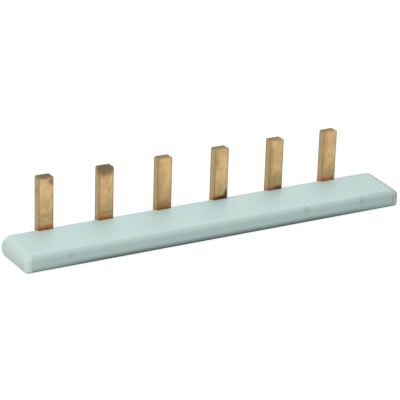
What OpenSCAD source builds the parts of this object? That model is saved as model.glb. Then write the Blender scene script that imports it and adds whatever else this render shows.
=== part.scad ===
// Single-pole comb busbar. A stamped copper comb lies in an insulating housing,
// its blades are bent up through notches in the housing's rear shoulder,
// and a domed cap closes each end.
// +X runs along the bar, +Y points to the rear edge that carries the blades, +Z is up.
// The origin is at the middle of the underside of the whole bar.

/* [Comb] */
// Number of blades
pin_count = 6; // [2:1:12]
// Spacing of neighbouring blades, one device module
pin_pitch = 17.8; // [12:0.1:27]
// Width of a blade along the bar
pin_w = 4.4; // [3:0.1:6]
// Thickness of the copper sheet
sheet_t = 2.5; // [1.6:0.1:3]
// Length of a blade above the housing's shoulder
blade_reach = 14.9; // [8:0.1:22]
// Width of the comb's flat strip inside the housing
strip_w = 10; // [6:0.1:16]
// Flat length of a tooth between the strip and its bend
tooth_root = 0.45; // [0.2:0.05:3]
// Inner radius of the bend below each blade
bend_r = 0.9; // [0.7:0.1:1.6]
// Corner radius at a blade's tip
tip_r = 0.7; // [0.3:0.1:1.4]
// Chamfer on the broad sides of a blade's tip
tip_chamfer = 0.3; // [0.1:0.05:0.7]

/* [Housing] */
// Housing length beyond the centre of the first blade
first_inset = 10.3; // [8.5:0.1:25]
// Housing length beyond the centre of the last blade
last_inset = 14; // [8.5:0.1:25]
// Thickness of the wall in front of the strip
front_wall = 1.5; // [1:0.1:3]
// Thickness of the floor under the strip
floor_t = 1.2; // [0.9:0.1:2.5]
// Thickness of the roof at the front face
roof_front_t = 1; // [0.8:0.1:2]
// Thickness of the roof at the rear face, where it forms the shoulder
roof_rear_t = 2.2; // [1.6:0.1:3]
// Distance from the blades' rear faces to the housing's rear face
rear_inset = 0.1; // [0.1:0.1:2]
// Width of the lip that holds the comb in at the rear
lip_w = 1.2; // [0.8:0.1:1.3]
// Height of the lip above the floor
lip_h = 0.7; // [0.3:0.1:0.8]
// Radius of the upper front edge
front_top_r = 1.5; // [0.5:0.1:2]
// Radius of the lower front edge
front_bottom_r = 0.8; // [0.4:0.1:1.4]
// Radius of the upper rear edge
rear_top_r = 2.3; // [1:0.1:2.6]
// Radius of the lower rear edge
rear_bottom_r = 1.8; // [0.5:0.1:1.9]

/* [End caps] */
// Length of a cap outside the housing
cap_t = 1.5; // [1.2:0.1:3]
// Bulge of the cap's domed outer face
cap_dome = 0.65; // [0.3:0.05:0.8]
// Radius of the cap's upright outer edges
cap_edge_r = 1; // [0.5:0.1:1.1]
// How far the cap's top lies below the housing's shoulder
cap_rear_drop = 0.8; // [0.2:0.1:1]
// Radius of the cap's upper rear edge
cap_rear_r = 3; // [1.5:0.1:3.1]
// Length of the spigot that plugs into the housing
spigot_l = 4; // [2:0.1:5]
// Width of the shadow groove between cap and housing
groove_w = 0.3; // [0.15:0.05:0.5]
// Depth of the shadow groove
groove_d = 0.35; // [0.15:0.05:0.4]

/* [Fits] */
// Gap between a blade and its notch, and above the strip
comb_gap = 0.1; // [0.05:0.05:0.3]
// Gap around a cap's spigot
spigot_gap = 0.05; // [0.02:0.01:0.2]
// Gap between a spigot and the strip's end
end_gap = 0.3; // [0.1:0.1:1]

/* [Hidden] */
$fn = 96;

// Distances across the bar, counted from the front face
strip_front_y = front_wall + comb_gap;
strip_rear_y = strip_front_y + strip_w;
bend_y = strip_rear_y + tooth_root;
blade_front_y = bend_y + bend_r;
blade_rear_y = blade_front_y + sheet_t;
body_d = blade_rear_y + rear_inset;
lip_y = body_d - lip_w;

// Heights above the underside
strip_top_z = floor_t + sheet_t;
bend_z = strip_top_z + bend_r;
ceiling_z = strip_top_z + comb_gap;
front_h = ceiling_z + roof_front_t;
rear_h = ceiling_z + roof_rear_t;
cap_rear_h = rear_h - cap_rear_drop;
shoulder_z = front_h + (rear_h - front_h) * blade_front_y / body_d;
tip_z = shoulder_z + blade_reach;

// Distances along the bar, counted from its middle
body_l = first_inset + (pin_count - 1) * pin_pitch + last_inset;
strip_l = body_l - 2 * (spigot_l + end_gap);
first_blade_x = first_inset - body_l / 2;
blade_xs = [for (i = [0 : pin_count - 1]) first_blade_x + i * pin_pitch];

// Past-the-surface margin of every cut
cut = 1;
// How deep the roof plane cuts into the upper edges' rounding
roof_bite = 0.01;
// Distance between a cap's dome and the outline that rounds its upright edges
crown_gap = 0.02;

// Extrudes a (y, z) outline along the bar from x0 to x1
module along_bar(x0, x1) {
    translate([x0, -body_d / 2, 0]) rotate([90, 0, 90]) linear_extrude(x1 - x0) children();
}

// Extrudes an (x, z) outline across the whole bar
module across_bar() {
    translate([0, body_d / 2 + cut, 0]) rotate([90, 0, 0]) linear_extrude(body_d + 2 * cut) children();
}

// Outer outline in (y, z): a flat floor, a roof that rises to the rear and four round edges.
// The edges' centres stay in place when the outline is inset.
module rounded_outline(rear_height, top_rear_r, inset = 0) {
    slope = atan2(rear_height - front_h, body_d);
    function roof(y) = front_h + y * tan(slope);
    function under_roof(y, r) = roof(y) - r / cos(slope);
    top_front = [front_top_r, under_roof(front_top_r, front_top_r)];
    top_rear = [body_d - top_rear_r, under_roof(body_d - top_rear_r, top_rear_r)];
    low_front = [front_bottom_r, front_bottom_r];
    low_rear = [body_d - rear_bottom_r, rear_bottom_r];
    roof_trim = inset / cos(slope) + roof_bite;
    intersection() {
        union() {
            polygon([
                [inset, low_front.y],
                [low_front.x, inset],
                [low_rear.x, inset],
                [body_d - inset, low_rear.y],
                [body_d - inset, top_rear.y],
                top_rear,
                [top_rear.x, rear_height + cut],
                [top_front.x, rear_height + cut],
                top_front,
                [inset, top_front.y],
            ]);
            translate(low_front) mirror([0, 1]) half_disc(front_bottom_r - inset);
            translate(low_rear) mirror([0, 1]) half_disc(rear_bottom_r - inset);
            translate(top_rear) half_disc(top_rear_r - inset);
            translate(top_front) half_disc(front_top_r - inset);
        }
        polygon([
            [-cut, -cut],
            [body_d + cut, -cut],
            [body_d + cut, roof(body_d + cut) - roof_trim],
            [-cut, roof(-cut) - roof_trim],
        ]);
    }
}

// The upper half of a disc
module half_disc(r) {
    intersection() {
        circle(r);
        translate([-r, 0]) square([2 * r, r]);
    }
}

// Pocket for the strip, open to the rear above the retaining lip
module pocket_outline() {
    translate([front_wall, floor_t]) square([lip_y - front_wall, ceiling_z - floor_t]);
    translate([lip_y - cut, floor_t + lip_h])
        square([lip_w + 2 * cut, ceiling_z - floor_t - lip_h]);
}

// Notch in the shoulder that a blade slides into from the rear, in (y, z).
// Its lower front edge is rounded to follow the inside of the blade's bend.
module notch_side() {
    notch_front_y = blade_front_y - comb_gap;
    inner_r = bend_r - comb_gap;
    translate([notch_front_y, ceiling_z - sheet_t / 2])
        square([body_d + cut - notch_front_y, rear_h + sheet_t]);
    difference() {
        translate([bend_y, ceiling_z - sheet_t / 2]) square([inner_r + cut, sheet_t / 2 + inner_r]);
        translate([bend_y, bend_z]) circle(inner_r);
    }
}

module housing() {
    color([0.74, 0.82, 0.83]) difference() {
        along_bar(-body_l / 2, body_l / 2) difference() {
            rounded_outline(rear_h, rear_top_r);
            pocket_outline();
        }
        for (x = blade_xs)
            along_bar(x - pin_w / 2 - comb_gap, x + pin_w / 2 + comb_gap) notch_side();
    }
}

// A tooth in (y, z): flat root, quarter bend and upright blade with a chamfered tip
module tooth_side() {
    translate([strip_rear_y - cut, floor_t]) square([tooth_root + cut, sheet_t]);
    translate([bend_y, bend_z]) intersection() {
        difference() {
            circle(bend_r + sheet_t);
            circle(bend_r);
        }
        translate([0, -bend_r - sheet_t]) square(bend_r + sheet_t);
    }
    polygon([
        [blade_front_y, bend_z],
        [blade_rear_y, bend_z],
        [blade_rear_y, tip_z - tip_chamfer],
        [blade_rear_y - tip_chamfer, tip_z],
        [blade_front_y + tip_chamfer, tip_z],
        [blade_front_y, tip_z - tip_chamfer],
    ]);
}

// A tooth in (x, z): a straight blade with two round corners at its tip
module tooth_front(x) {
    translate([x - pin_w / 2, 0]) square([pin_w, tip_z - tip_r]);
    translate([x - pin_w / 2 + tip_r, 0]) square([pin_w - 2 * tip_r, tip_z]);
    for (side = [-1, 1]) translate([x + side * (pin_w / 2 - tip_r), tip_z - tip_r]) circle(tip_r);
}

module tooth(x) {
    intersection() {
        along_bar(x - pin_w / 2, x + pin_w / 2) tooth_side();
        across_bar() tooth_front(x);
    }
}

module copper_comb() {
    color([0.75, 0.56, 0.36]) union() {
        translate([-strip_l / 2, strip_front_y - body_d / 2, floor_t]) cube([strip_l, strip_w, sheet_t]);
        for (x = blade_xs) tooth(x);
    }
}

// Cap outline in (x, z) beyond the housing's end: an arc bulges from floor to roof
module cap_side() {
    half_h = front_h / 2;
    dome_r = (half_h * half_h + cap_dome * cap_dome) / (2 * cap_dome);
    intersection() {
        translate([cap_t - dome_r, half_h]) circle(dome_r);
        translate([0, -cut]) square([cap_t + cut, rear_h + 2 * cut]);
    }
}

// Cap outline in (x, y) beyond the housing's end, with round outer corners.
// Its outer side stays just clear of the dome's crown.
module cap_plan() {
    plan_w = cap_t + crown_gap;
    square([plan_w - cap_edge_r, body_d]);
    translate([0, cap_edge_r]) square([plan_w, body_d - 2 * cap_edge_r]);
    for (y = [cap_edge_r, body_d - cap_edge_r]) translate([plan_w - cap_edge_r, y]) circle(cap_edge_r);
}

// Right-hand cap: domed plate, shadow groove and a spigot that fills the pocket's end
module end_cap() {
    end_x = body_l / 2;
    intersection() {
        union() {
            along_bar(end_x + groove_w, end_x + cap_t + cut) rounded_outline(cap_rear_h, cap_rear_r);
            along_bar(end_x, end_x + cap_t / 2) rounded_outline(cap_rear_h, cap_rear_r, groove_d);
        }
        translate([end_x, 0, 0]) across_bar() cap_side();
        translate([end_x, -body_d / 2, -cut]) linear_extrude(rear_h + 2 * cut) cap_plan();
    }
    translate([end_x - spigot_l, front_wall + spigot_gap - body_d / 2, floor_t + spigot_gap])
        cube([spigot_l + groove_w, lip_y - front_wall - 2 * spigot_gap, ceiling_z - floor_t - 2 * spigot_gap]);
}

module end_cap_right() {
    color([0.85, 0.88, 0.85]) end_cap();
}

module end_cap_left() {
    color([0.85, 0.88, 0.85]) mirror([1, 0, 0]) end_cap();
}

housing();
copper_comb();
end_cap_left();
end_cap_right();
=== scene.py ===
"""Dresses the single-pole comb busbar for its studio picture.

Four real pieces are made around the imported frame: the stamped and bent copper comb,
the extruded housing that it is pushed into from the rear, and a moulded cap on each end.
Every size in the classes is in millimetres and every mesh is in metres.
"""

import logging
import math
from collections.abc import Sequence
from dataclasses import dataclass, field
from enum import Enum
from typing import Any

import bmesh
import bpy
from bpy.types import ID, Material, Node, NodeSocket, NodeTree, Object
from mathutils import Euler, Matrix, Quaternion, Vector


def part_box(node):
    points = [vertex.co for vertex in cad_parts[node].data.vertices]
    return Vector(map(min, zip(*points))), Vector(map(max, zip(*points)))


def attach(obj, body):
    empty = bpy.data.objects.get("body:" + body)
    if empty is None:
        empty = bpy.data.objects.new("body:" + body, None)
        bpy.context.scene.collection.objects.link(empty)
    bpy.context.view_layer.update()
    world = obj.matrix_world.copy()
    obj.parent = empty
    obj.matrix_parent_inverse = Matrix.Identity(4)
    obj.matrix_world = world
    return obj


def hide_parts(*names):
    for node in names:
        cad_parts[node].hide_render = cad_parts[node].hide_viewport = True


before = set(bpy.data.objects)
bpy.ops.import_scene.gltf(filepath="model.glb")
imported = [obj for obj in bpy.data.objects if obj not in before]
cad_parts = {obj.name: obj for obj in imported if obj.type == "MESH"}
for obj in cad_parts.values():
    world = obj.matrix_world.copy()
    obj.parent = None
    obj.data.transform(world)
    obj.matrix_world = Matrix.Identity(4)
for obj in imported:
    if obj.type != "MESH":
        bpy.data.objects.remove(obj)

LOG = logging.getLogger("comb_busbar")
MM = 0.001
BODY = "root"
WELD = 0.002 * MM

Feed = Any  # a node socket, a node, or a plain value for a node's input
Feeds = dict[int | str, Feed]
Sockets = dict[str, NodeSocket]
Triple = tuple[float, float, float]
Colour = Triple

# Sizes in millimetres that several classes share.
PITCH = 17.8
FIRST_X = -46.35
DEPTH = 15.55
BUMP_DEPTH = 0.03


class End(Enum):
    """The two ends of the bar, with the side of the origin that each lies on."""

    LEFT = -1
    RIGHT = 1

    @property
    def node(self) -> str:
        """Name of the CAD node at this end."""
        return f"end_cap_{self.name.lower()}"


# ---- node trees


@dataclass(frozen=True)
class Tree:
    """A shader or geometry node tree that is filled by short calls."""

    tree: NodeTree

    def feed(self, socket: NodeSocket, value: Feed) -> None:
        """Links or sets one input.

        Args:
            socket: the input.
            value: an output socket, a node whose first output counts, or a plain value.
        """
        if isinstance(value, Node):
            value = value.outputs[0]
        if isinstance(value, NodeSocket):
            self.tree.links.new(value, socket)
        else:
            socket.default_value = value

    def add(self, kind: str, feeds: Feeds | None = None, **settings: Any) -> Node:
        """Adds a node.

        Args:
            kind: the node's type name.
            feeds: what goes into its inputs, by index or name.
            **settings: properties of the node, set before its inputs.

        Returns:
            The new node.
        """
        node = self.tree.nodes.new(kind)
        for name, value in settings.items():
            setattr(node, name, value)
        for key, value in (feeds or {}).items():
            self.feed(node.inputs[key], value)
        return node

    def geo(self, kind: str, feeds: Feeds | None = None, **settings: Any) -> Node:
        """Adds a geometry node, whose type name is given without its prefix."""
        return self.add(f"GeometryNode{kind}", feeds, **settings)

    def math(self, operation: str, *values: Feed) -> NodeSocket:
        """Adds a Math node on the given values and returns its output."""
        return self.add("ShaderNodeMath", dict(enumerate(values)), operation=operation).outputs[0]

    def plus(self, first: Feed, second: Feed) -> NodeSocket:
        """Adds two values."""
        return self.math("ADD", first, second)

    def minus(self, first: Feed, second: Feed) -> NodeSocket:
        """Takes the second value from the first."""
        return self.math("SUBTRACT", first, second)

    def times(self, first: Feed, *others: Feed) -> NodeSocket:
        """Multiplies two or more values."""
        for other in others:
            first = self.math("MULTIPLY", first, other)
        return first

    def vector(self, operation: str, *values: Feed) -> NodeSocket:
        """Adds a Vector Math node on the given values and returns its vector."""
        return self.add("ShaderNodeVectorMath", dict(enumerate(values)), operation=operation).outputs[0]

    def axes(self, vector: Feed) -> tuple[NodeSocket, ...]:
        """Splits a vector into its three components."""
        return tuple(self.add("ShaderNodeSeparateXYZ", {0: vector}).outputs)

    def join(self, x: Feed, y: Feed, z: Feed) -> NodeSocket:
        """Combines three values into a vector."""
        return self.add("ShaderNodeCombineXYZ", {0: x, 1: y, 2: z}).outputs[0]

    def ease(self, value: Feed, low: Feed, high: Feed, start: float = 0, end: float = 1) -> NodeSocket:
        """Maps a value smoothly from the span low to high onto start to end, and holds it outside.

        Args:
            value: the value to map.
            low: where the result is start.
            high: where the result is end.
            start: result at low and below.
            end: result at high and above.

        Returns:
            The mapped value.
        """
        feeds = {0: value, 1: low, 2: high, 3: start, 4: end}
        return self.add("ShaderNodeMapRange", feeds, interpolation_type="SMOOTHSTEP").outputs[0]

    def mix(self, share: Feed, first: Feed, second: Feed) -> NodeSocket:
        """Mixes two colours, given as sockets or as three plain numbers.

        Args:
            share: how much of the second colour shows.
            first: the colour at share 0.
            second: the colour at share 1.

        Returns:
            The mixed colour.
        """
        feeds = {0: share, 6: opaque(first), 7: opaque(second)}
        return self.add("ShaderNodeMix", feeds, data_type="RGBA", clamp_factor=True).outputs[2]

    def noise(self, place: Feed, scale: Feed, detail: float = 2, rough: float = 0.5) -> NodeSocket:
        """Adds a Noise texture and returns its value, which lies around one half."""
        feeds = {"Vector": place, "Scale": scale, "Detail": detail, "Roughness": rough}
        return self.add("ShaderNodeTexNoise", feeds).outputs[0]

    def joined(self, *parts: Feed) -> Node:
        """Joins geometries into one."""
        node = self.geo("JoinGeometry")
        for part in parts:
            self.feed(node.inputs[0], part)
        return node

    def repeated(self, cell: Feed, count: Feed, start: Feed, pitch: Feed) -> Node:
        """Repeats a cell along the bar.

        Args:
            cell: the geometry to repeat.
            count: how often it comes.
            start: place of the first one.
            pitch: distance from one to the next.

        Returns:
            The node that puts out the instances.
        """
        feeds = {"Count": count, "Start Location": start, "Offset": self.join(pitch, 0, 0)}
        return self.geo("InstanceOnPoints", {"Points": self.geo("MeshLine", feeds), "Instance": cell})

    def prism(self, flat: Feed, offset: tuple[int, int, int], length: Feed) -> Node:
        """Extrudes flat faces into a closed solid.

        Args:
            flat: the faces.
            offset: direction of the extrusion.
            length: how far it goes.

        Returns:
            The node that puts out the solid.
        """
        feeds = {"Mesh": flat, "Offset": offset, "Offset Scale": length, "Individual": False}
        shell = self.joined(self.geo("ExtrudeMesh", feeds), self.geo("FlipFaces", {0: flat}))
        return self.geo("MergeByDistance", {0: shell, "Distance": WELD})

    def finish(self, out: Node, geometry: Feed, material: Feed) -> "Tree":
        """Ends a geometry tree: realises its instances, sets its material and returns the tree."""
        real = self.geo("RealizeInstances", {0: geometry})
        self.feed(out.inputs[0], self.geo("SetMaterial", {"Geometry": real, "Material": material}))
        return self


def opaque(value: Feed) -> Feed:
    """Gives a plain colour its alpha, and leaves a socket as it is."""
    return (*value, 1.0) if isinstance(value, tuple) else value


def open_group(name: str, kind: str, output: tuple[str, str], **inputs: Sequence[str]) -> tuple[Tree, Sockets, Node]:
    """Starts a node group with named sockets.

    Args:
        name: the group's name.
        kind: Shader or Geometry.
        output: the output's name and short type.
        **inputs: the names of the inputs by their short type.

    Returns:
        The tree, its input sockets by name, and its output node.
    """
    group = bpy.data.node_groups.new(name, f"{kind}NodeTree")
    for short, titles in inputs.items():
        for title in titles:
            group.interface.new_socket(name=title, in_out="INPUT", socket_type=f"NodeSocket{short}")
    title, short = output
    group.interface.new_socket(name=title, in_out="OUTPUT", socket_type=f"NodeSocket{short}")
    entry = group.nodes.new("NodeGroupInput")
    return Tree(group), {s.name: s for s in entry.outputs if s.name}, group.nodes.new("NodeGroupOutput")


def open_geometry(name: str, **inputs: Sequence[str]) -> tuple[Tree, Sockets, Node]:
    """Starts a geometry group that takes a geometry and a material beside its own inputs."""
    inputs = {"Geometry": ("Geometry",), "Material": ("Material",), **inputs}
    return open_group(name, "Geometry", ("Geometry", "Geometry"), **inputs)


# ---- shared effects


def patches(tree: Tree, given: Sockets) -> NodeSocket:
    """Soft-edged patches, such as stains, smudges and dull areas.

    Args:
        tree: the group's tree.
        given: its inputs.

    Returns:
        A mask of the patches.
    """
    moved = tree.vector("ADD", given["Vector"], tree.join(*[given["Shift"]] * 3))
    value = tree.noise(moved, given["Scale"], detail=3, rough=0.55)
    edge, soft = tree.minus(1.0, given["Cover"]), given["Softness"]
    return tree.ease(value, tree.minus(edge, soft), tree.plus(edge, soft))


def edge_rub(tree: Tree, given: Sockets) -> NodeSocket:
    """Rounded edges: rubbed lighter by handling on the plastic, darkened by painted shade on the copper.

    Args:
        tree: the group's tree.
        given: its inputs.

    Returns:
        A mask along the edges, broken up by noise.
    """
    rounded = tree.add("ShaderNodeBevel", {"Radius": tree.times(given["Width"], MM)}, samples=6)
    flat = tree.add("ShaderNodeNewGeometry").outputs["Normal"]
    turn = tree.add("ShaderNodeVectorMath", {0: rounded, 1: flat}, operation="DOT_PRODUCT").outputs["Value"]
    broken = tree.ease(tree.noise(given["Vector"], given["Breakup"], detail=3), 0.25, 0.55)
    return tree.times(tree.ease(turn, 0.995, 0.86), broken)


def drawn_lines(tree: Tree, given: Sockets) -> NodeSocket:
    """Fine lines left along one direction by a die, a roll or a punch.

    Args:
        tree: the group's tree.
        given: its inputs.

    Returns:
        The height of the lines and of a fine grain.
    """
    along = tree.vector("MULTIPLY", given["Vector"], given["Stretch"])
    lines = tree.noise(along, given["Fineness"], detail=4, rough=0.6)
    return tree.plus(lines, tree.times(tree.noise(given["Vector"], 9.0), given["Grain"]))


def soft_spot(tree: Tree, given: Sockets) -> NodeSocket:
    """One soft-edged spot at a given place.

    Args:
        tree: the group's tree.
        given: its inputs.

    Returns:
        The spot's mask.
    """
    scaled = tree.vector("DIVIDE", tree.vector("SUBTRACT", given["Vector"], given["Centre"]), given["Reach"])
    distance = tree.add("ShaderNodeVectorMath", {0: scaled}, operation="LENGTH").outputs["Value"]
    ragged = tree.times(tree.minus(tree.noise(given["Vector"], 1.1, detail=3), 0.5), 0.9)
    return tree.ease(tree.plus(distance, ragged), 1.2, 0.35)


class Effect(Enum):
    """The shared effects: the function that fills the group, its vector inputs and its float inputs."""

    PATCHES = (patches, ("Vector",), ("Scale", "Cover", "Softness", "Shift"))
    EDGE_RUB = (edge_rub, ("Vector",), ("Width", "Breakup"))
    DRAWN_LINES = (drawn_lines, ("Vector", "Stretch"), ("Fineness", "Grain"))
    SOFT_SPOT = (soft_spot, ("Vector", "Centre", "Reach"), ())

    @property
    def group(self) -> NodeTree:
        """The effect's node group, built when it is first asked for."""
        name = self.name.lower()
        if name not in bpy.data.node_groups:
            fill, vectors, floats = self.value
            tree, given, out = open_group(name, "Shader", ("Value", "Float"), Vector=vectors, Float=floats)
            tree.feed(out.inputs[0], fill(tree, given))
        return bpy.data.node_groups[name]


@dataclass(frozen=True)
class Spot:
    """A soft spot of wear or tarnish, placed on the part in millimetres."""

    centre: Triple
    reach: Triple
    share: float
    colour: Colour


@dataclass
class Surface:
    """A material that is being made.

    Attributes:
        material: the material.
        tree: its tree.
        place: the place on the piece in millimetres.
        facing: the three components of the face's direction.
        colour: the colour laid down so far.
    """

    material: Material
    tree: Tree
    place: NodeSocket
    facing: tuple[NodeSocket, ...]
    colour: Feed = (1.0, 1.0, 1.0)

    @classmethod
    def start(cls, name: str) -> "Surface":
        """Starts a material of the given name."""
        material = bpy.data.materials.new(name)
        material.use_nodes = True
        tree = Tree(material.node_tree)
        source = tree.add("ShaderNodeTexCoord").outputs
        feeds = {"Vector": source["Object"], "Scale": (1 / MM,) * 3}
        scaled = tree.add("ShaderNodeMapping", feeds, vector_type="POINT").outputs[0]
        return cls(material, tree, scaled, tree.axes(source["Normal"]))

    def effect(self, effect: Effect, **feeds: Feed) -> NodeSocket:
        """Places a shared effect and returns its output.

        Args:
            effect: the effect.
            **feeds: values for the group's inputs, by name.

        Returns:
            The effect's output.
        """
        feeds = {"Vector": self.place, **feeds}
        return self.tree.add("ShaderNodeGroup", feeds, node_tree=effect.group).outputs[0]

    def lay(self, mask: Feed, tint: Feed, share: float | None = None) -> None:
        """Lays a tint over the colour.

        Args:
            mask: where the tint shows.
            tint: the tint.
            share: how much of it shows where the mask is full, if not all.
        """
        if share is not None:
            mask = self.tree.times(mask, share)
        self.colour = self.tree.mix(mask, self.colour, tint)

    def lay_spots(self, spots: Sequence[Spot]) -> None:
        """Lays spots over the colour, lowest first."""
        for spot in spots:
            mask = self.effect(Effect.SOFT_SPOT, Centre=spot.centre, Reach=spot.reach)
            self.lay(mask, spot.colour, spot.share)

    def gloss(self, scale: float, spread: float, middle: float, worn: Feed) -> NodeSocket:
        """Makes an uneven roughness.

        Args:
            scale: scale of the unevenness.
            spread: how far the roughness varies.
            middle: the roughness that it varies around.
            worn: what wear adds to it.

        Returns:
            The roughness.
        """
        uneven = self.tree.times(self.tree.noise(self.place, scale, detail=4), spread)
        return self.tree.plus(self.tree.plus(uneven, middle - spread / 2), worn)

    def close(self, gloss: Feed, lines: Feed, strength: float, **feeds: Feed) -> Material:
        """Joins the layers to the shader.

        Args:
            gloss: the roughness.
            lines: the height of the surface's lines.
            strength: how much the lines show.
            **feeds: further inputs of the shader, by name.

        Returns:
            The finished material.
        """
        relief = {"Strength": strength, "Distance": BUMP_DEPTH * MM, "Height": lines}
        feeds |= {"Base Color": self.colour, "Roughness": gloss, "Normal": self.tree.add("ShaderNodeBump", relief)}
        shader = self.material.node_tree.nodes["Principled BSDF"]
        for name, value in feeds.items():
            self.tree.feed(shader.inputs[name], value)
        return self.material


# ---- finishes


@dataclass(frozen=True)
class PlasticFinish:
    """Satin insulating plastic with uneven ageing, soil, die lines and painted shade."""

    name: str
    base: Colour
    cool: Colour
    warm: Colour
    # Colour of the stains, also used for painted shade.
    soil: Colour
    roughness: float = 0.5
    ior: float = 1.47
    soil_cover: float = 0.2
    line_stretch: Triple = (0.02, 1.0, 1.0)
    shift: float = 0.0
    # Colour of upward faces: a painted shade, if given.
    upper: Colour | None = None
    half_length: float = 57.5
    far_end: float = 34.0
    far_length: float = 22.0
    # How much painted shade darkens the bar towards its right end.
    far_share: float = 0.0
    # Painted shade along the front's lower edge: its tint, its shadow line and how much they show.
    grime: Colour = (0.11, 0.16, 0.14)
    dark_line: Colour = (0.03, 0.045, 0.04)
    grime_share: float = 0.0
    # How much painted shade darkens the rounded edges.
    ridge_share: float = 0.3
    rubbed_gain: float = 1.1
    spots: tuple[Spot, ...] = ()

    def material(self) -> Material:
        """Builds the material of this finish."""
        made = Surface.start(self.name)
        tree, place = made.tree, made.place
        x, _, z = tree.axes(place)
        _, to_rear, up = made.facing
        made.colour = tree.mix(tree.ease(tree.noise(place, 0.16, detail=4), 0.4, 0.6), self.cool, self.warm)
        made.lay(tree.ease(tree.noise(place, 0.4), 0.3, 0.7, 0.2, 0.8), self.base)
        stain = made.effect(Effect.PATCHES, Scale=0.45, Cover=self.soil_cover, Softness=0.05, Shift=self.shift)
        thin = tree.times(stain, tree.ease(tree.noise(place, 0.06), 0.42, 0.6, 0.15, 0.7))
        made.lay(thin, self.soil)
        # Painted shade: darker towards the right end of the bar, where less light falls.
        made.lay(tree.ease(x, self.far_end, self.far_end + self.far_length, 0.0, self.far_share), self.soil)
        # Painted shade: faces turned upwards are darker.
        if self.upper:
            made.lay(tree.ease(up, 0.55, 1.0), self.upper)
        # Painted shade on the rounded edge, where a face leans halfway between up and level.
        upward = tree.math("MAXIMUM", up, 0.0)
        square = tree.times(upward, upward)
        painted_ridge_shade = tree.times(square, tree.minus(1.0, square), tree.ease(to_rear, 0.3, 0.0))
        made.lay(painted_ridge_shade, self.soil, 4 * self.ridge_share)
        # Painted shade and a painted shadow line along the front's lower edge, where it meets the floor, thinner
        # towards the bar's ends.
        inward = tree.ease(tree.math("ABSOLUTE", x), self.half_length, self.far_end, 0.3, 1.0)
        front = tree.times(tree.ease(to_rear, -0.1, -0.5), inward)
        for low, high, share, tint in ((2.0, 0.5, 0.95, self.grime), (0.8, 0.4, 0.9, self.dark_line)):
            made.lay(tree.times(tree.ease(z, low, high), front), tint, share * self.grime_share)
        made.lay_spots(self.spots)
        rubbed = tuple(min(1.0, c * self.rubbed_gain) for c in self.base)
        made.lay(made.effect(Effect.EDGE_RUB, Width=0.35, Breakup=0.8), rubbed, 0.3)
        lines = made.effect(Effect.DRAWN_LINES, Stretch=self.line_stretch, Fineness=5.0, Grain=0.35)
        gloss = made.gloss(0.5, 0.16, self.roughness, tree.times(thin, 0.12))
        return made.close(gloss, lines, 0.35, IOR=self.ior)


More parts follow.
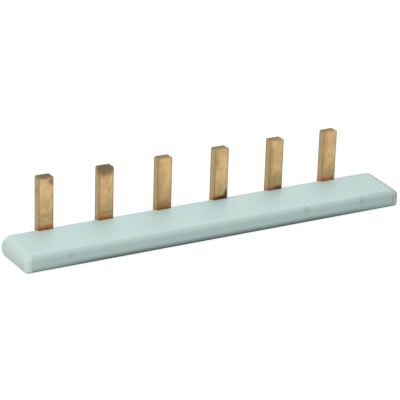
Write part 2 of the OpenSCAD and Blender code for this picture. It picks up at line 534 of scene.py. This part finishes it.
@dataclass(frozen=True)
class CopperFinish:
    """Bare copper sheet, lightly tarnished, with sheared edges, browner feet and tips, and painted shade along its
    edges.
    """

    name: str
    bright: Colour
    warm: Colour
    dull: Colour
    sheared: Colour
    streak: Colour
    edge: Colour
    brown: Colour
    burnt: Colour
    dark: Colour
    olive: Colour
    foot_z: float
    tip_z: float
    half_width: float = 2.2
    rear_y: float = 7.675
    roughness: float = 0.38
    spots: tuple[Spot, ...] = ()

    def material(self) -> Material:
        """Builds the material of this finish."""
        made = Surface.start(self.name)
        tree, place = made.tree, made.place
        x, y, height = tree.axes(place)
        to_right, to_rear, up = made.facing
        side = tree.ease(tree.math("ABSOLUTE", to_right), 0.6, 0.9)
        tip = tree.times(tree.ease(up, 0.5, 0.85), tree.ease(height, self.tip_z - 1.5, self.tip_z - 0.8))
        cut = tree.math("MAXIMUM", side, tip)
        made.colour = tree.mix(tree.ease(tree.noise(place, 0.3, detail=3), 0.35, 0.65), self.bright, self.warm)
        own = tree.noise(tree.join(tree.times(x, 0.06), 3.0, tree.times(height, 0.12)), 1.0, detail=3)
        made.lay(tree.ease(own, 0.45, 0.72, 0.0, 0.35), self.dull)
        made.lay(made.effect(Effect.PATCHES, Scale=0.6, Cover=0.34, Softness=0.08, Shift=7.0), self.dull, 0.3)
        made.lay(made.effect(Effect.PATCHES, Scale=0.38, Cover=0.42, Softness=0.1, Shift=15.0), self.olive, 0.5)
        streak = tree.noise(tree.vector("MULTIPLY", place, (1.0, 1.0, 0.35)), 0.9, detail=4, rough=0.6)
        made.lay(tree.ease(streak, 0.48, 0.66, 0.0, 0.6), self.streak)
        made.lay(cut, self.sheared, 0.85)

        # The heat tint at the foot has a wavy upper edge and fades out on the bend below.
        wavy = tree.plus(height, tree.times(tree.minus(tree.noise(place, 0.6, detail=4), 0.5), 1.2))

        def from_foot(low: float, high: float, start: float = 0.0) -> NodeSocket:
            """Maps the wavy height between two heights over the foot onto start to 1."""
            return tree.ease(wavy, self.foot_z + low, self.foot_z + high, start, 1.0)

        over_bend = from_foot(-2.2, -0.8, 0.15)
        weaker = tree.ease(side, 0.0, 1.0, 1.0, 0.45)
        foot = tree.times(from_foot(2.0, 0.7), weaker, over_bend, tree.ease(to_rear, 0.2, 0.8, 1.0, 0.55))
        line = tree.times(from_foot(0.9, 0.2), tree.ease(side, 0.0, 1.0, 1.0, 0.4), over_bend)
        made.lay(foot, self.brown, 0.95)
        made.lay_spots(self.spots)
        made.lay(tree.times(tip, tree.ease(y, self.rear_y - 2.2, self.rear_y - 0.2, 0.2, 0.75)), self.dark)
        made.lay(line, self.burnt, 0.6)

        # Painted shade: a darker rim along the blades' upright edges, found by folding x onto one blade.
        folded = tree.math("WRAP", x, FIRST_X + PITCH / 2, FIRST_X - PITCH / 2)
        off = tree.math("ABSOLUTE", tree.minus(folded, FIRST_X))
        rim = tree.times(tree.ease(off, self.half_width - 0.6, self.half_width - 0.02), tree.ease(side, 1.0, 0.0))
        rear_rim = tree.times(side, tree.ease(y, self.rear_y - 0.9, self.rear_y - 0.1))
        made.lay(tree.math("MAXIMUM", rim, rear_rim), self.edge, 0.6)
        # Painted shade: the rounded edges darkened.
        made.lay(made.effect(Effect.EDGE_RUB, Width=0.7, Breakup=0.5), self.dark, 0.7)
        lines = made.effect(Effect.DRAWN_LINES, Stretch=(1.0, 1.0, 0.12), Fineness=4.0, Grain=0.4)
        worn = tree.times(tree.math("MAXIMUM", foot, cut), 0.2)
        return made.close(made.gloss(0.8, 0.24, self.roughness, worn), lines, 0.4, Metallic=1.0)


# ---- shapes


@dataclass(frozen=True)
class Corner:
    """A corner of an outline across the bar, with the radius that rounds it."""

    y: float
    z: float
    radius: float = 0.0

    @property
    def point(self) -> Vector:
        """The corner's place."""
        return Vector((self.y, self.z))


def rounded_loop(corners: Sequence[Corner], steps: int = 10) -> list[Vector]:
    """Rounds the corners of a closed outline.

    Args:
        corners: the corners in order.
        steps: how many chords a rounded corner gets.

    Returns:
        The outline's points in order.
    """
    loop: list[Vector] = []
    for index, corner in enumerate(corners):
        here = corner.point
        if corner.radius <= 0:
            loop.append(here)
            continue
        back = (corners[index - 1].point - here).normalized()
        ahead = (corners[(index + 1) % len(corners)].point - here).normalized()
        half = back.angle(ahead) / 2
        centre = here + (back + ahead).normalized() * corner.radius / math.sin(half)
        reach = corner.radius / math.tan(half)
        spoke = here + back * reach - centre
        sweep = spoke.angle_signed(here + ahead * reach - centre)
        for step in range(steps + 1):
            turn = -sweep * step / steps
            loop.append(centre + Vector((
                spoke.x * math.cos(turn) - spoke.y * math.sin(turn),
                spoke.x * math.sin(turn) + spoke.y * math.cos(turn),
            )))
    return loop


def add_object(name: str, data: ID) -> Object:
    """Adds an object with the given data to the scene."""
    made = bpy.data.objects.new(name, data)
    bpy.context.scene.collection.objects.link(made)
    return made


def new_object(name: str, mesh: bmesh.types.BMesh) -> Object:
    """Turns an edit mesh into an object in the scene, with its normals recalculated.

    Args:
        name: the object's name.
        mesh: the edit mesh, which is freed.

    Returns:
        The object, at the origin.
    """
    bmesh.ops.recalc_face_normals(mesh, faces=mesh.faces)
    data = bpy.data.meshes.new(name)
    mesh.to_mesh(data)
    mesh.free()
    return add_object(name, data)


def section_object(name: str, x: float, loop: Sequence[Vector], depth: float = 0.0) -> Object:
    """Makes a flat section across the bar, or a prism where a depth is given.

    Args:
        name: the object's name.
        x: where the section lies along the bar.
        loop: the outline in y and z.
        depth: how far a prism reaches along the bar.

    Returns:
        The object.
    """
    mesh = bmesh.new()
    face = mesh.faces.new([mesh.verts.new((x * MM, p.x * MM, p.y * MM)) for p in loop])
    if depth:
        grown = bmesh.ops.extrude_face_region(mesh, geom=[face])["geom"]
        for vert in (v for v in grown if isinstance(v, bmesh.types.BMVert)):
            vert.co.x += depth * MM
    return new_object(name, mesh)


def settle(made: Object, name: str, material: Material, smooth_angle: float) -> Object:
    """Turns an object with live modifiers into a plain, shaded mesh object.

    Args:
        made: the object with its modifiers, which is removed.
        name: the finished piece's name.
        material: its material.
        smooth_angle: edges sharper than this many degrees stay sharp.

    Returns:
        The finished piece at the origin.
    """
    ready = made.evaluated_get(bpy.context.evaluated_depsgraph_get())
    data = bpy.data.meshes.new_from_object(ready)
    bpy.data.objects.remove(made)
    data.name = name
    data.materials.clear()
    data.materials.append(material)
    data.set_sharp_from_angle(angle=math.radians(smooth_angle))
    return add_object(name, data)


def hand_over(piece: Object, node: str) -> None:
    """Seats a finished piece on the frame in place of its CAD node and reports it.

    Args:
        piece: the finished piece.
        node: the CAD node that it stands for.
    """
    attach(piece, BODY)
    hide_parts(node)
    LOG.info("%s: %d faces", piece.name, len(piece.data.polygons))


def apply_tree(made: Object, tree: Tree, **values: Any) -> None:
    """Adds a Geometry Nodes modifier and sets its inputs by their identifiers.

    Args:
        made: the object.
        tree: the modifier's tree.
        **values: the inputs' values, by name with _ for each space.
    """
    modifier = made.modifiers.new(tree.tree.name, "NODES")
    modifier.node_group = tree.tree
    for item in tree.tree.interface.items_tree:
        key = item.name.replace(" ", "_").lower()
        if item.in_out == "INPUT" and key in values:
            modifier[item.identifier] = values[key]


# ---- the comb


@dataclass(frozen=True)
class CopperComb:
    """The stamped comb: a flat strip with teeth, bent up into blades."""

    finish: CopperFinish
    count: int = 6
    blade_width: float = 4.4
    sheet: float = 2.5
    strip_front: float = 1.6
    strip_rear: float = 11.6
    strip_end: float = 52.35
    strip_bottom: float = 1.2
    bend_start: float = 12.05
    bend_inner: float = 0.9
    tip_radius: float = 0.5
    edge_round: float = 0.12
    sharp_angle: float = 50
    depth: float = DEPTH
    run_steps: int = 12
    tip_steps: int = 8

    @property
    def neutral(self) -> float:
        """Radius of the sheet's middle in the bend."""
        return self.bend_inner + self.sheet / 2

    def tooth_rows(self, reach: float) -> list[tuple[float, float]]:
        """Lists the rows of the flat tooth.

        Args:
            reach: length of the straight blade above its bend.

        Returns:
            Each row's place across the bar, with the tooth's half width there.
        """
        half = self.blade_width / 2
        rows = [(self.strip_front, half), (self.strip_rear, half)]
        steps, bend = self.run_steps, self.neutral * math.pi / 2
        rows += [(self.bend_start + bend * i / steps, half) for i in range(steps + 1)]
        start = rows[-1][0]
        rows += [(start + (reach - 2 * self.tip_radius) * i / steps, half) for i in range(1, steps + 1)]
        return rows

    def tooth(self, reach: float) -> Object:
        """Makes one flat tooth with its share of the strip, centred on x = 0."""
        mesh = bmesh.new()
        columns = (-1.0, -0.5, 0.0, 0.5, 1.0)
        rows = [[mesh.verts.new((half * c * MM, y * MM, 0)) for c in columns] for y, half in self.tooth_rows(reach)]
        for low, high in zip(rows, rows[1:]):
            for i in range(len(columns) - 1):
                mesh.faces.new((low[i], low[i + 1], high[i + 1], high[i]))
        radius = self.tip_radius
        half, shoulder = self.blade_width / 2 - radius, rows[-1][0].co.y / MM + radius
        turns = [math.pi / 2 * step / self.tip_steps for step in range(self.tip_steps + 1)]
        arc = [(half + radius * math.cos(t), shoulder + radius * math.sin(t)) for t in turns]
        arc += [(-x, y) for x, y in reversed(arc)]
        mesh.faces.new(rows[-1] + [mesh.verts.new((x * MM, y * MM, 0)) for x, y in arc])
        return new_object("comb_tooth", mesh)

    def blank_tree(self) -> Tree:
        """Builds the tree that repeats the tooth, fills the strip between and thickens the blank."""
        floats = ("Pitch", "First", "Width", "Sheet", "Front", "Rear", "End")
        tree, given, out = open_geometry("stamped_blank", Int=("Count",), Float=floats)
        pitch, first, width, sheet, front, rear, end = (given[name] for name in floats)
        half = tree.times(width, 0.5)
        span = tree.minus(rear, front)
        middle = tree.times(tree.plus(rear, front), 0.5)
        bridges = tree.minus(given["Count"], 1)
        last = tree.plus(first, tree.times(pitch, bridges))

        def row(cell: Feed, count: Feed, x: Feed, y: Feed) -> Node:
            """Repeats a cell from the given place on."""
            return tree.repeated(cell, count, tree.join(x, y, 0), pitch)

        def panel(length: Feed) -> Node:
            """Makes a rectangle of strip of the given length."""
            return tree.geo("MeshGrid", {"Size X": length, "Size Y": span, "Vertices X": 2, "Vertices Y": 2})

        def end_panel(length: Feed, x: Feed) -> Node:
            """Makes the strip beyond the first or the last blade, centred on x."""
            return tree.geo("Transform", {"Geometry": panel(length), "Translation": tree.join(x, middle, 0)})

        left = tree.minus(tree.plus(first, end), half)
        right = tree.minus(tree.minus(end, last), half)
        parts = tree.joined(
            row(given["Geometry"], given["Count"], first, 0),
            row(panel(tree.minus(pitch, width)), bridges, tree.plus(first, tree.times(pitch, 0.5)), middle),
            end_panel(left, tree.times(tree.minus(tree.minus(first, half), end), 0.5)),
            end_panel(right, tree.times(tree.plus(tree.plus(last, half), end), 0.5)),
        )
        flat = tree.geo("MergeByDistance", {0: tree.geo("RealizeInstances", {0: parts}), "Distance": WELD})
        closed = tree.prism(flat, (0, 0, 1), sheet)
        angle = tree.geo("InputMeshEdgeAngle").outputs[0]
        sharp = tree.math("GREATER_THAN", angle, math.radians(self.sharp_angle))
        feeds = {"Geometry": closed, "Name": "bevel_weight_edge", "Value": sharp}
        weighted = tree.geo("StoreNamedAttribute", feeds, data_type="FLOAT", domain="EDGE")
        return tree.finish(out, weighted, given["Material"])

    def bend_tree(self) -> Tree:
        """Builds the tree that bends the teeth up around the bend's axis."""
        floats = ("Axis Y", "Axis Z", "Neutral", "Lift", "Back")
        tree, given, out = open_geometry("bent_teeth", Float=floats)
        axis_y, axis_z, neutral, lift, back = (given[name] for name in floats)
        x, y, z = tree.axes(tree.geo("InputPosition"))
        along = tree.minus(y, axis_y)
        spoke = tree.minus(axis_z, tree.plus(z, lift))
        turn = tree.math("MINIMUM", tree.math("MAXIMUM", tree.math("DIVIDE", along, neutral), 0.0), math.pi / 2)
        run = tree.math("MAXIMUM", tree.minus(along, tree.times(neutral, math.pi / 2)), 0.0)
        new_y = tree.plus(tree.math("MINIMUM", along, 0.0), tree.times(spoke, tree.math("SINE", turn)))
        new_y = tree.minus(tree.plus(new_y, axis_y), back)
        new_z = tree.plus(tree.minus(axis_z, tree.times(spoke, tree.math("COSINE", turn))), run)
        bent = tree.geo("SetPosition", {"Geometry": given["Geometry"], "Position": tree.join(x, new_y, new_z)})
        return tree.finish(out, bent, given["Material"])

    def build(self) -> None:
        """Stamps, rounds and bends the comb, and hands it over."""
        material = self.finish.material()
        axis_z = self.strip_bottom + self.sheet + self.bend_inner
        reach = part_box("copper_comb")[1].z / MM - axis_z
        made = self.tooth(reach)
        apply_tree(
            made, self.blank_tree(), count=self.count, pitch=PITCH * MM, first=FIRST_X * MM,
            width=self.blade_width * MM, sheet=self.sheet * MM, front=self.strip_front * MM,
            rear=self.strip_rear * MM, end=self.strip_end * MM, material=material,
        )
        rounding = made.modifiers.new("rounded_edges", "BEVEL")
        rounding.limit_method = "WEIGHT"
        rounding.width = self.edge_round * MM
        rounding.segments = 3
        rounding.use_clamp_overlap = False
        apply_tree(
            made, self.bend_tree(), axis_y=self.bend_start * MM, axis_z=axis_z * MM, neutral=self.neutral * MM,
            lift=self.strip_bottom * MM, back=self.depth / 2 * MM, material=material,
        )
        hand_over(settle(made, "busbar_comb", material, smooth_angle=40), "copper_comb")


# ---- the housing


@dataclass(frozen=True)
class Housing:
    """The extruded housing, open to the rear, with a notch for each blade."""

    finish: PlasticFinish
    comb: CopperComb
    depth: float = DEPTH
    front_height: float = 4.8
    rear_height: float = 6.0
    front_top_radius: float = 1.5
    front_bottom_radius: float = 0.8
    rear_top_radius: float = 2.3
    rear_bottom_radius: float = 1.8
    front_wall: float = 1.5
    floor: float = 1.2
    ceiling: float = 3.8
    lip_width: float = 1.2
    lip_height: float = 0.7
    gap: float = 0.1
    overcut: float = 1.0
    joint_inset: float = 0.3

    def end_x(self, end: End) -> float:
        """Place of the joint with the cap at one end."""
        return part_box("housing")[end is End.RIGHT].x / MM - end.value * self.joint_inset

    def outline(self, top_radius: float, inset: float = 0.0) -> list[Vector]:
        """Outer outline of the section, centred across the bar.

        Args:
            top_radius: radius of the upper rear corner.
            inset: how far the outline lies inside the full one.

        Returns:
            The outline's points.
        """
        rear = self.depth / 2
        slope = math.atan2(self.rear_height - self.front_height, self.depth)
        drop, rise = inset / math.cos(slope), math.tan(slope) * inset
        return rounded_loop([
            Corner(inset - rear, inset, self.front_bottom_radius - inset),
            Corner(rear - inset, inset, self.rear_bottom_radius - inset),
            Corner(rear - inset, self.rear_height - drop - rise, top_radius - inset),
            Corner(inset - rear, self.front_height - drop + rise, self.front_top_radius - inset),
        ], steps=14)

    def pocket(self) -> list[Vector]:
        """Outline of the pocket for the strip, open to the rear above the retaining lip."""
        rear = self.depth / 2
        front, lip = self.front_wall - rear, rear - self.lip_width
        return rounded_loop([
            Corner(front, self.floor, self.gap),
            Corner(lip, self.floor, self.gap),
            Corner(lip, self.floor + self.lip_height),
            Corner(rear + self.overcut, self.floor + self.lip_height),
            Corner(rear + self.overcut, self.ceiling),
            Corner(front, self.ceiling, self.gap),
        ], steps=3)

    def notch(self) -> list[Vector]:
        """Outline of a blade's notch, whose lower front edge follows the blade's bend."""
        rear = self.depth / 2
        bend = self.comb.bend_start - rear
        inner = self.comb.bend_inner - self.gap
        low = self.ceiling - self.comb.sheet / 2
        top = self.rear_height + self.comb.sheet
        return rounded_loop([
            Corner(bend, low),
            Corner(rear + self.overcut, low),
            Corner(rear + self.overcut, top),
            Corner(bend + inner, top),
            Corner(bend + inner, self.ceiling, inner),
            Corner(bend, self.ceiling),
        ], steps=8)

    def tree(self) -> Tree:
        """Builds the tree that extrudes the section and cuts the pocket and the notches."""
        floats, cutters = ("Length", "Pitch", "First"), ("Pocket", "Notch")
        tree, given, out = open_geometry("extruded_housing", Int=("Count",), Float=floats, Object=cutters)
        cut = tree.prism(given["Geometry"], (1, 0, 0), given["Length"])
        pocket, notch = (tree.geo("ObjectInfo", {0: given[name]}).outputs["Geometry"] for name in cutters)
        notches = tree.repeated(notch, given["Count"], tree.join(given["First"], 0, 0), given["Pitch"])
        for cutter in (pocket, tree.geo("RealizeInstances", {0: notches})):
            cut = tree.geo("MeshBoolean", {0: cut, 1: cutter}, operation="DIFFERENCE", solver="EXACT")
        return tree.finish(out, cut, given["Material"])

    def build(self) -> None:
        """Extrudes and cuts the housing, and hands it over."""
        material = self.finish.material()
        low, high = (self.end_x(end) for end in End)
        half = self.comb.blade_width / 2 + self.gap
        pocket = section_object("pocket_cutter", low - self.overcut, self.pocket(), high - low + 2 * self.overcut)
        notch = section_object("notch_cutter", -half, self.notch(), 2 * half)
        made = section_object("housing_section", low, self.outline(self.rear_top_radius))
        apply_tree(
            made, self.tree(), length=(high - low) * MM, count=self.comb.count, pitch=PITCH * MM,
            first=FIRST_X * MM, pocket=pocket, notch=notch, material=material,
        )
        piece = settle(made, "busbar_housing", material, smooth_angle=25)
        for cutter in (pocket, notch):
            bpy.data.objects.remove(cutter)
        hand_over(piece, "housing")


# ---- the end caps


@dataclass(frozen=True)
class EndCap:
    """A moulded cap: a domed plate with soft edges and a spigot that plugs into the housing."""

    finish: PlasticFinish
    housing: Housing
    end: End
    plate: float = 2.0
    dome: float = 0.3
    rear_top_radius: float = 2.8
    upright_radius: float = 0.8
    soft_radius: float = 1.1
    low_radius: float = 0.75
    groove_width: float = 0.1
    groove_depth: float = 0.1
    spigot: float = 4.0
    spigot_gap: float = 0.05
    spigot_edge: float = 0.15
    rings: int = 14
    last_share: float = 0.985

    def height(self, point: Vector, depth: float) -> float:
        """How far the plate's outer face stands out.

        Args:
            point: the place on the face, in y and z.
            depth: distance from the plate's outline.

        Returns:
            The distance from the housing's end.
        """
        half = self.housing.front_height / 2
        dome_radius = (half * half + self.dome * self.dome) / (2 * self.dome)
        domed = self.plate - dome_radius + math.sqrt(max(dome_radius ** 2 - (point.y - half) ** 2, 0))
        from_side = max(self.upright_radius - (self.housing.depth / 2 - abs(point.x)), 0)
        side = self.plate - self.upright_radius + math.sqrt(max(self.upright_radius ** 2 - from_side ** 2, 0))
        rise = min(max(point.y / self.housing.front_height, 0), 1)
        radius = self.low_radius + (self.soft_radius - self.low_radius) * rise ** 2
        into = max(radius - depth, 0)
        soft = radius - math.sqrt(max(radius ** 2 - into ** 2, 0))
        return min(domed, side) - soft

    def build(self) -> None:
        """Lofts the plate and its spigot, and hands the cap over."""
        body, side = self.housing, self.end.value
        material = self.finish.material()
        face_x = body.end_x(self.end)
        outline, rear = body.outline(self.rear_top_radius), body.depth / 2
        spine_low, spine_high = body.front_height / 2 - rear, rear - body.rear_height / 2
        mesh = bmesh.new()

        def ring(points: Sequence[Vector], reaches: Sequence[float]) -> list[bmesh.types.BMVert]:
            """Adds a ring of vertices, each at its own reach beyond the housing's end."""
            places = (Vector((face_x + side * reach, p.x, p.y)) for p, reach in zip(points, reaches))
            return [mesh.verts.new(place * MM) for place in places]

        def slope_middle(y: float) -> float:
            """Height of the plate's middle line."""
            share = (y + rear) / body.depth
            return (body.front_height + (body.rear_height - body.front_height) * share) / 2

        groove = body.outline(self.rear_top_radius, self.groove_depth)
        level = [self.groove_width] * len(outline)
        rings = [ring(groove, [0.0] * len(groove)), ring(groove, level), ring(outline, level)]
        spine = (min(max(p.x, spine_low), spine_high) for p in outline)
        targets = [Vector((y, slope_middle(y))) for y in spine]
        for step in range(self.rings + 1):
            share = min(1 - math.cos(math.pi / 2 * step / self.rings), self.last_share)
            points = [p.lerp(t, share) for p, t in zip(outline, targets)]
            reaches = [max(self.height(q, (p - q).length), self.groove_width) for p, q in zip(outline, points)]
            rings.append(ring(points, reaches))
        for inner, outer in zip(rings, rings[1:]):
            for i in range(len(inner)):
                j = (i + 1) % len(inner)
                mesh.faces.new((inner[i], inner[j], outer[j], outer[i]))
        mesh.faces.new(rings[0])
        mesh.faces.new(rings[-1])
        bmesh.ops.remove_doubles(mesh, verts=mesh.verts, dist=WELD)
        made = new_object(f"plate_{self.end.name.lower()}", mesh)

        gap = self.spigot_gap
        box_x = sorted((face_x - side * self.spigot, face_x + side * self.groove_width))
        box_low = Vector((box_x[0], body.front_wall + gap - rear, body.floor + gap))
        box_high = Vector((box_x[1], rear - body.lip_width - gap, body.ceiling - gap))
        block = bmesh.new()
        bmesh.ops.create_cube(block, size=1)
        for vert in block.verts:
            vert.co = Vector(box_high[i] if vert.co[i] > 0 else box_low[i] for i in range(3)) * MM
        edge = self.spigot_edge * MM
        bmesh.ops.bevel(block, geom=list(block.edges), offset=edge, segments=2, affect="EDGES", profile=0.5)
        plug = new_object(f"plug_{self.end.name.lower()}", block)
        union = made.modifiers.new("plug", "BOOLEAN")
        union.operation, union.solver, union.object = "UNION", "EXACT", plug
        piece = settle(made, f"busbar_{self.end.node}", material, smooth_angle=35)
        bpy.data.objects.remove(plug)
        hand_over(piece, self.end.node)


# ---- the studio


@dataclass(frozen=True)
class Lamp:
    """A soft area lamp that faces the middle of the bar."""

    name: str
    place: Triple
    size: float
    power: float
    colour: Colour

    def build(self) -> None:
        """Adds the lamp to the scene."""
        data = bpy.data.lights.new(self.name, "AREA")
        data.shape, data.size, data.energy, data.color = "DISK", self.size, self.power, self.colour
        lamp = add_object(self.name, data)
        lamp.location = self.place
        lamp.rotation_euler = (-Vector(self.place)).to_track_quat("-Z", "Y").to_euler()
        lamp.visible_camera = False
        lamp.visible_glossy = False


@dataclass(frozen=True)
class Studio:
    """Camera, lamps, pale floor and white surroundings."""

    camera_place: Triple = (-249.80, -421.76, 194.77)
    camera_yaw: float = 30.38
    camera_pitch: float = 20.81
    camera_roll: float = 1.87
    lens: float = 172.97
    sensor: float = 36.0
    floor_size: float = 4.0
    floor_colour: float = 0.15
    floor_share: float = 0.3
    ambient: float = 0.53
    lamps: tuple[Lamp, ...] = field(default_factory=lambda: (
        Lamp("key", (-0.95, -0.9, 1.0), 0.9, 20.0, (0.91, 1.0, 0.985)),
        Lamp("fill", (0.5, 0.5, 1.3), 1.0, 5.0, (1.0, 0.94, 0.93)),
    ))

    def add_camera(self) -> None:
        """Adds the camera at the picture's place and angle."""
        data = bpy.data.cameras.new("camera")
        data.lens, data.sensor_width = self.lens, self.sensor
        data.clip_start, data.clip_end = 0.01, 20.0
        camera = add_object("camera", data)
        level = Euler((math.radians(90 - self.camera_pitch), 0, math.radians(-self.camera_yaw))).to_quaternion()
        camera.rotation_mode = "QUATERNION"
        camera.rotation_quaternion = level @ Quaternion((0, 0, 1), math.radians(self.camera_roll))
        camera.location = Vector(self.camera_place) * MM
        bpy.context.scene.camera = camera

    def seen_directly(self, tree: Tree) -> NodeSocket:
        """Mask of the rays that show white surroundings: camera, gloss and glass."""
        path = tree.add("ShaderNodeLightPath").outputs
        seen = tree.math("MAXIMUM", path["Is Camera Ray"], path["Is Glossy Ray"])
        return tree.math("MAXIMUM", seen, path["Is Transmission Ray"])

    def add_floor(self) -> None:
        """Adds the floor, which shows white and keeps the bar's soft shadow."""
        mesh = bmesh.new()
        bmesh.ops.create_grid(mesh, x_segments=8, y_segments=8, size=self.floor_size / 2)
        floor = new_object("studio_floor", mesh)
        material = bpy.data.materials.new("pale_floor")
        material.use_nodes = True
        tree, nodes = Tree(material.node_tree), material.node_tree.nodes
        nodes.remove(nodes["Principled BSDF"])
        bounce = tree.add("ShaderNodeBsdfDiffuse", {"Color": (*[self.floor_colour] * 3, 1.0)})
        thin = tree.add("ShaderNodeBsdfDiffuse", {"Color": (*[self.floor_share] * 3, 1.0)})
        glow = tree.add("ShaderNodeEmission", {"Color": (1, 1, 1, 1), "Strength": 1 - self.floor_share * 0.8})
        shown = tree.add("ShaderNodeAddShader", {0: thin, 1: glow})
        mixed = tree.add("ShaderNodeMixShader", {0: self.seen_directly(tree), 1: bounce, 2: shown})
        tree.feed(nodes["Material Output"].inputs["Surface"], mixed)
        floor.data.materials.append(material)

    def add_surroundings(self) -> None:
        """Sets the world, which lights the bar softly and shows white."""
        world = bpy.data.worlds.new("studio_world")
        bpy.context.scene.world = world
        world.use_nodes = True
        tree = Tree(world.node_tree)
        back = world.node_tree.nodes["Background"]
        back.inputs["Color"].default_value = (1, 1, 1, 1)
        strength = tree.plus(self.ambient, tree.times(self.seen_directly(tree), 1 - self.ambient))
        tree.feed(back.inputs["Strength"], strength)

    def build(self) -> None:
        """Builds the whole studio."""
        bpy.context.scene.view_settings.view_transform = "Standard"
        self.add_camera()
        self.add_floor()
        self.add_surroundings()
        for lamp in self.lamps:
            lamp.build()
        LOG.info("studio: %d lamps", len(self.lamps))


# ---- assembly

GREY_BLUE = PlasticFinish(
    name="grey_blue_plastic",
    base=(0.482, 0.605, 0.59),
    cool=(0.465, 0.59, 0.61),
    warm=(0.495, 0.61, 0.57),
    soil=(0.26, 0.32, 0.28),
    grime_share=0.95,
    far_share=0.16,
    spots=(
        Spot((27.4, -7.8, 3.8), (1.2, 1.0, 1.1), 0.34, (0.24, 0.29, 0.24)),
        Spot((45.8, -7.8, 3.5), (0.9, 1.0, 1.3), 0.36, (0.24, 0.29, 0.24)),
        Spot((-45.3, -7.8, 3.0), (0.9, 1.0, 0.8), 0.30, (0.28, 0.33, 0.29)),
    ),
)
PALE_GREY = PlasticFinish(
    name="pale_grey_plastic",
    base=(0.625, 0.725, 0.69),
    cool=(0.60, 0.715, 0.70),
    warm=(0.64, 0.725, 0.675),
    soil=(0.38, 0.45, 0.42),
    upper=(0.51, 0.63, 0.605),
    line_stretch=(1.0, 0.2, 1.0),
    shift=21.0,
    ridge_share=0.4,
)
SALLOW_GREY = PlasticFinish(
    name="sallow_grey_plastic",
    base=(0.465, 0.515, 0.465),
    cool=(0.45, 0.53, 0.49),
    warm=(0.49, 0.505, 0.44),
    soil=(0.32, 0.32, 0.28),
    line_stretch=(1.0, 0.2, 1.0),
    shift=34.0,
)
TARNISHED_COPPER = CopperFinish(
    name="tarnished_copper",
    bright=(0.68, 0.47, 0.225),
    warm=(0.58, 0.365, 0.19),
    dull=(0.38, 0.28, 0.14),
    sheared=(0.455, 0.35, 0.18),
    streak=(0.47, 0.30, 0.13),
    olive=(0.53, 0.41, 0.17),
    edge=(0.27, 0.19, 0.09),
    brown=(0.57, 0.19, 0.06),
    burnt=(0.16, 0.06, 0.025),
    dark=(0.15, 0.115, 0.065),
    foot_z=5.8,
    tip_z=20.7,
    spots=(
        Spot((-46.6, 5.2, 10.0), (1.3, 1.0, 0.7), 0.35, (0.20, 0.15, 0.09)),
        Spot((-44.6, 5.2, 19.3), (1.3, 1.0, 1.2), 0.75, (0.22, 0.09, 0.05)),
        Spot((-46.3, 5.2, 20.7), (3.2, 3.0, 0.9), 0.7, (0.12, 0.10, 0.07)),
        Spot((-48.4, 6.2, 17.0), (0.6, 1.2, 1.2), 0.5, (0.20, 0.22, 0.10)),
        Spot((-28.5, 5.2, 20.5), (4.0, 3.0, 2.6), 0.85, (0.15, 0.10, 0.06)),
        Spot((-28.5, 5.2, 7.9), (2.6, 1.0, 0.35), 0.6, (0.22, 0.13, 0.07)),
        Spot((-12.4, 5.2, 13.0), (0.9, 1.5, 7.0), 0.35, (0.24, 0.17, 0.08)),
        Spot((-10.7, 5.2, 7.4), (2.8, 1.2, 1.6), 0.55, (0.33, 0.16, 0.08)),
        Spot((7.6, 5.2, 6.2), (3.2, 1.4, 0.9), 0.9, (0.055, 0.035, 0.025)),
        Spot((8.8, 5.2, 7.4), (0.8, 1.2, 1.4), 0.8, (0.08, 0.05, 0.03)),
        Spot((5.5, 5.2, 16.8), (0.6, 1.2, 4.0), 0.5, (0.26, 0.17, 0.08)),
        Spot((24.8, 5.2, 8.4), (3.0, 1.6, 3.8), 0.45, (0.36, 0.20, 0.11)),
        Spot((25.9, 5.2, 6.3), (1.7, 1.4, 0.7), 0.8, (0.08, 0.05, 0.03)),
        Spot((23.3, 5.2, 15.0), (0.7, 1.2, 6.0), 0.4, (0.26, 0.18, 0.09)),
        Spot((42.7, 5.2, 8.2), (2.6, 1.4, 1.4), 0.3, (0.46, 0.26, 0.13)),
        Spot((41.2, 5.2, 15.0), (0.7, 1.4, 7.0), 0.35, (0.28, 0.19, 0.09)),
    ),
)


def main() -> None:
    """Builds the studio and the pieces in order."""
    logging.basicConfig(level=logging.INFO, format="%(name)s: %(message)s")
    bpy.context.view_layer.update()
    Studio().build()
    comb = CopperComb(finish=TARNISHED_COPPER)
    comb.build()
    housing = Housing(finish=GREY_BLUE, comb=comb)
    housing.build()
    EndCap(
        finish=PALE_GREY, housing=housing, end=End.LEFT, soft_radius=1.5, groove_width=0.06, groove_depth=0.05
    ).build()
    EndCap(finish=SALLOW_GREY, housing=housing, end=End.RIGHT, groove_width=0.2, groove_depth=0.2).build()


if __name__ == "__main__":
    main()
